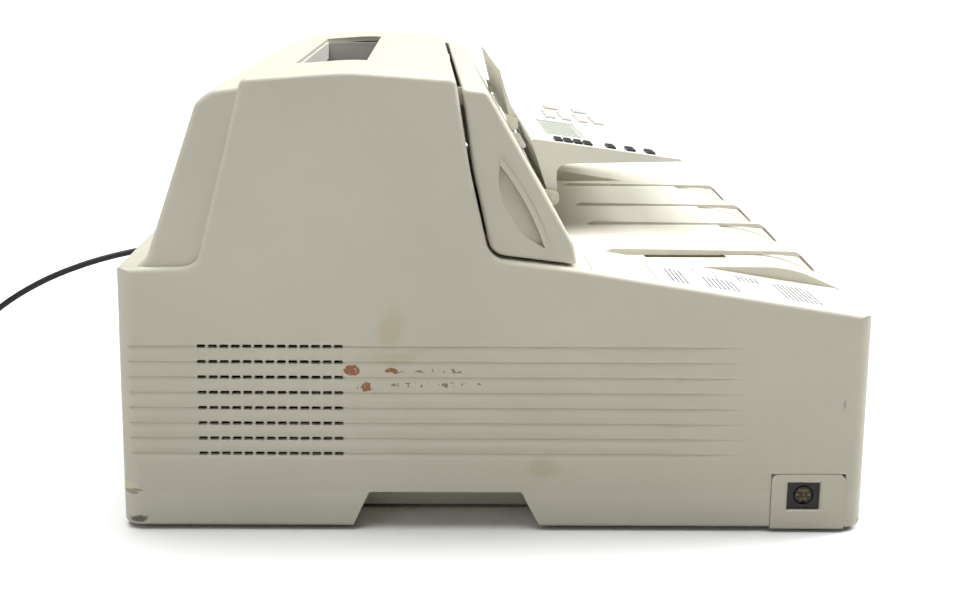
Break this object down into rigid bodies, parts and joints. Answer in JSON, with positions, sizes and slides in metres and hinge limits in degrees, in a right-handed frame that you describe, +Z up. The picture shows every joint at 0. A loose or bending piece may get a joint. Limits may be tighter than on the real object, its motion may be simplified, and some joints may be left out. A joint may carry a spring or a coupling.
{
  "type": "fax machine",
  "caption": "Desktop laser fax machine with a tall rear sheet feeder, hinged front cover, wedge control panel over the output deck, grooved vented sides and a telephone line cord.",
  "frame": {"origin": "under the middle of the machine's box without its cord, on the surface that it stands on", "axes": "+Z up, front towards -Y, the user's right is +X"},
  "size_m": [0.371, 0.6105, 0.217],
  "materials": {
    "ivory_casing": "fine spark texture",
    "panel_ivory": "fine spark texture",
    "flap_ivory": "satin",
    "foot_rubber": "matte",
    "black_plastic": "satin",
    "display_lens": "clear over a grey-green display",
    "sheet_steel": "zinc plated",
    "drum_coating": "gloss organic coating",
    "roller_rubber": "ground rubber",
    "heat_roller_coating": "low-friction coating",
    "engine_plastic": "moulded",
    "mirror_metal": "polished",
    "motor_steel": "plated can",
    "brass_pinion": "machined",
    "board_green": "solder mask",
    "dark_key": "satin",
    "pale_key": "satin",
    "stop_key": "satin",
    "start_key": "satin",
    "cord_black": "satin jacket",
    "clear_plug": "moulded"
  },
  "bodies": {
    "machine": {"casing": "ivory_casing", "strip_plate": "ivory_casing", "base_tray": "ivory_casing", "rubber_feet": "foot_rubber", "socket_plate": "ivory_casing", "side_socket": "black_plastic", "mains_inlet": "black_plastic", "phone_jacks": "black_plastic", "rear_cover": "ivory_casing", "output_tray": "ivory_casing", "side_frames": "sheet_steel", "main_motor": "motor_steel", "toner_cartridge": "engine_plastic", "fuser_frame": "engine_plastic", "scanner_unit": "engine_plastic", "circuit_boards": "board_green", "fan_housing": "black_plastic", "cord_plug": "clear_plug", "cord_coil": "cord_black", "line_cord": "cord_black", "cord_end_plug": "clear_plug"},
    "cover": {"front_cover": "ivory_casing"},
    "panel": {"control_panel": "panel_ivory", "display_window": "display_lens", "image_sensor": "black_plastic"},
    "flap": {"document_flap": "flap_ivory"},
    "guide_left": {"document_guide_left": "flap_ivory"},
    "guide_right": {"document_guide_right": "flap_ivory"},
    "feed_roller": {"feed_roller": "roller_rubber"},
    "drum": {"drum": "drum_coating"},
    "transfer_roller": {"transfer_roller": "roller_rubber"},
    "heat_roller": {"heat_roller": "heat_roller_coating"},
    "pressure_roller": {"pressure_roller": "roller_rubber"},
    "exit_roller": {"exit_roller": "roller_rubber"},
    "pickup_roller": {"pickup_roller": "roller_rubber"},
    "motor_pinion": {"motor_pinion": "brass_pinion"},
    "polygon_mirror": {"polygon_mirror": "mirror_metal"},
    "fan_rotor": {"fan_rotor": "black_plastic"},
    "paper_plate": {"paper_plate": "sheet_steel"},
    "key_1": {"key_1": "pale_key"},
    "key_2": {"key_2": "pale_key"},
    "key_3": {"key_3": "pale_key"},
    "key_4": {"key_4": "pale_key"},
    "key_5": {"key_5": "pale_key"},
    "key_6": {"key_6": "pale_key"},
    "key_7": {"key_7": "pale_key"},
    "key_8": {"key_8": "pale_key"},
    "key_9": {"key_9": "pale_key"},
    "key_0": {"key_0": "pale_key"},
    "key_star": {"key_star": "pale_key"},
    "key_hash": {"key_hash": "pale_key"},
    "key_one_touch_1": {"key_one_touch_1": "dark_key"},
    "key_one_touch_2": {"key_one_touch_2": "dark_key"},
    "key_one_touch_3": {"key_one_touch_3": "dark_key"},
    "key_one_touch_4": {"key_one_touch_4": "dark_key"},
    "key_menu": {"key_menu": "dark_key"},
    "key_enter": {"key_enter": "dark_key"},
    "key_mode": {"key_mode": "dark_key"},
    "key_stop": {"key_stop": "stop_key"},
    "key_start": {"key_start": "start_key"}
  },
  "joints": [
    {"name": "cover_hinge", "type": "hinge", "parent": "machine", "child": "cover", "pos_m": [0, 0.0199, 0.206], "axis": [-1, 0, 0], "range_deg": [0, 48]},
    {"name": "panel_hinge", "type": "hinge", "parent": "cover", "child": "panel", "pos_m": [0.066, -0.0394, 0.1358], "axis": [1, 0, 0], "range_deg": [0, 18]},
    {"name": "flap_hinge", "type": "hinge", "parent": "cover", "child": "flap", "pos_m": [0.066, -0.0164, 0.1772], "axis": [-1, 0, 0], "range_deg": [-15, 10]},
    {"name": "guide_left_slide", "type": "slide", "parent": "cover", "child": "guide_left", "axis": [1, 0, 0], "range_m": [0, 0.035]},
    {"name": "guide_right_slide", "type": "slide", "parent": "cover", "child": "guide_right", "axis": [-1, 0, 0], "range_m": [0, 0.035]},
    {"name": "feed_roller_spin", "type": "hinge", "parent": "cover", "child": "feed_roller", "pos_m": [0.066, -0.0192, 0.1552], "axis": [1, 0, 0], "continuous": true},
    {"name": "drum_spin", "type": "hinge", "parent": "machine", "child": "drum", "pos_m": [0, 0.028, 0.104], "axis": [1, 0, 0], "continuous": true},
    {"name": "transfer_roller_spin", "type": "hinge", "parent": "machine", "child": "transfer_roller", "pos_m": [0, 0.028, 0.0856], "axis": [1, 0, 0], "continuous": true},
    {"name": "heat_roller_spin", "type": "hinge", "parent": "machine", "child": "heat_roller", "pos_m": [0, -0.006, 0.107], "axis": [1, 0, 0], "continuous": true},
    {"name": "pressure_roller_spin", "type": "hinge", "parent": "machine", "child": "pressure_roller", "pos_m": [0, -0.006, 0.0866], "axis": [1, 0, 0], "continuous": true},
    {"name": "exit_roller_spin", "type": "hinge", "parent": "machine", "child": "exit_roller", "pos_m": [0, -0.024, 0.116], "axis": [1, 0, 0], "continuous": true},
    {"name": "pickup_roller_spin", "type": "hinge", "parent": "machine", "child": "pickup_roller", "pos_m": [0, 0.08, 0.112], "axis": [1, 0, 0], "continuous": true},
    {"name": "motor_pinion_spin", "type": "hinge", "parent": "machine", "child": "motor_pinion", "pos_m": [0.16, 0.054, 0.104], "axis": [1, 0, 0], "continuous": true},
    {"name": "polygon_mirror_spin", "type": "hinge", "parent": "machine", "child": "polygon_mirror", "pos_m": [0, 0.042, 0.17], "axis": [0, 0, 1], "continuous": true},
    {"name": "fan_spin", "type": "hinge", "parent": "machine", "child": "fan_rotor", "pos_m": [-0.175, 0.104, 0.063], "axis": [1, 0, 0], "continuous": true},
    {"name": "paper_plate_hinge", "type": "hinge", "parent": "machine", "child": "paper_plate", "pos_m": [0, 0.104, 0.196], "axis": [-1, 0, 0], "range_deg": [0, 6]},
    {"name": "key_1_press", "type": "slide", "parent": "panel", "child": "key_1", "axis": [0, 0.1355, -0.9908], "range_m": [0, 0.0008], "stiffness_N_per_m": 300},
    {"name": "key_2_press", "type": "slide", "parent": "panel", "child": "key_2", "axis": [0, 0.1355, -0.9908], "range_m": [0, 0.0008], "stiffness_N_per_m": 300},
    {"name": "key_3_press", "type": "slide", "parent": "panel", "child": "key_3", "axis": [0, 0.1355, -0.9908], "range_m": [0, 0.0008], "stiffness_N_per_m": 300},
    {"name": "key_4_press", "type": "slide", "parent": "panel", "child": "key_4", "axis": [0, 0.1355, -0.9908], "range_m": [0, 0.0008], "stiffness_N_per_m": 300},
    {"name": "key_5_press", "type": "slide", "parent": "panel", "child": "key_5", "axis": [0, 0.1355, -0.9908], "range_m": [0, 0.0008], "stiffness_N_per_m": 300},
    {"name": "key_6_press", "type": "slide", "parent": "panel", "child": "key_6", "axis": [0, 0.1355, -0.9908], "range_m": [0, 0.0008], "stiffness_N_per_m": 300},
    {"name": "key_7_press", "type": "slide", "parent": "panel", "child": "key_7", "axis": [0, 0.1355, -0.9908], "range_m": [0, 0.0008], "stiffness_N_per_m": 300},
    {"name": "key_8_press", "type": "slide", "parent": "panel", "child": "key_8", "axis": [0, 0.1355, -0.9908], "range_m": [0, 0.0008], "stiffness_N_per_m": 300},
    {"name": "key_9_press", "type": "slide", "parent": "panel", "child": "key_9", "axis": [0, 0.1355, -0.9908], "range_m": [0, 0.0008], "stiffness_N_per_m": 300},
    {"name": "key_0_press", "type": "slide", "parent": "panel", "child": "key_0", "axis": [0, 0.1355, -0.9908], "range_m": [0, 0.0008], "stiffness_N_per_m": 300},
    {"name": "key_star_press", "type": "slide", "parent": "panel", "child": "key_star", "axis": [0, 0.1355, -0.9908], "range_m": [0, 0.0008], "stiffness_N_per_m": 300},
    {"name": "key_hash_press", "type": "slide", "parent": "panel", "child": "key_hash", "axis": [0, 0.1355, -0.9908], "range_m": [0, 0.0008], "stiffness_N_per_m": 300},
    {"name": "key_one_touch_1_press", "type": "slide", "parent": "panel", "child": "key_one_touch_1", "axis": [0, 0.1355, -0.9908], "range_m": [0, 0.0008], "stiffness_N_per_m": 300},
    {"name": "key_one_touch_2_press", "type": "slide", "parent": "panel", "child": "key_one_touch_2", "axis": [0, 0.1355, -0.9908], "range_m": [0, 0.0008], "stiffness_N_per_m": 300},
    {"name": "key_one_touch_3_press", "type": "slide", "parent": "panel", "child": "key_one_touch_3", "axis": [0, 0.1355, -0.9908], "range_m": [0, 0.0008], "stiffness_N_per_m": 300},
    {"name": "key_one_touch_4_press", "type": "slide", "parent": "panel", "child": "key_one_touch_4", "axis": [0, 0.1355, -0.9908], "range_m": [0, 0.0008], "stiffness_N_per_m": 300},
    {"name": "key_menu_press", "type": "slide", "parent": "panel", "child": "key_menu", "axis": [0, 0.1355, -0.9908], "range_m": [0, 0.0008], "stiffness_N_per_m": 300},
    {"name": "key_enter_press", "type": "slide", "parent": "panel", "child": "key_enter", "axis": [0, 0.1355, -0.9908], "range_m": [0, 0.0008], "stiffness_N_per_m": 300},
    {"name": "key_mode_press", "type": "slide", "parent": "panel", "child": "key_mode", "axis": [0, 0.1355, -0.9908], "range_m": [0, 0.0008], "stiffness_N_per_m": 300},
    {"name": "key_stop_press", "type": "slide", "parent": "panel", "child": "key_stop", "axis": [0, 0.1355, -0.9908], "range_m": [0, 0.0008], "stiffness_N_per_m": 300},
    {"name": "key_start_press", "type": "slide", "parent": "panel", "child": "key_start", "axis": [0, 0.1355, -0.9908], "range_m": [0, 0.0008], "stiffness_N_per_m": 300}
  ],
  "couplings": [
    {"joint": "guide_right_slide", "follows": "guide_left_slide", "ratio": 1},
    {"joint": "transfer_roller_spin", "follows": "drum_spin", "ratio": -2},
    {"joint": "heat_roller_spin", "follows": "drum_spin", "ratio": 1.2},
    {"joint": "pressure_roller_spin", "follows": "drum_spin", "ratio": -1.2},
    {"joint": "exit_roller_spin", "follows": "drum_spin", "ratio": 2},
    {"joint": "pickup_roller_spin", "follows": "drum_spin", "ratio": 0.85714},
    {"joint": "motor_pinion_spin", "follows": "drum_spin", "ratio": -3.3333}
  ]
}
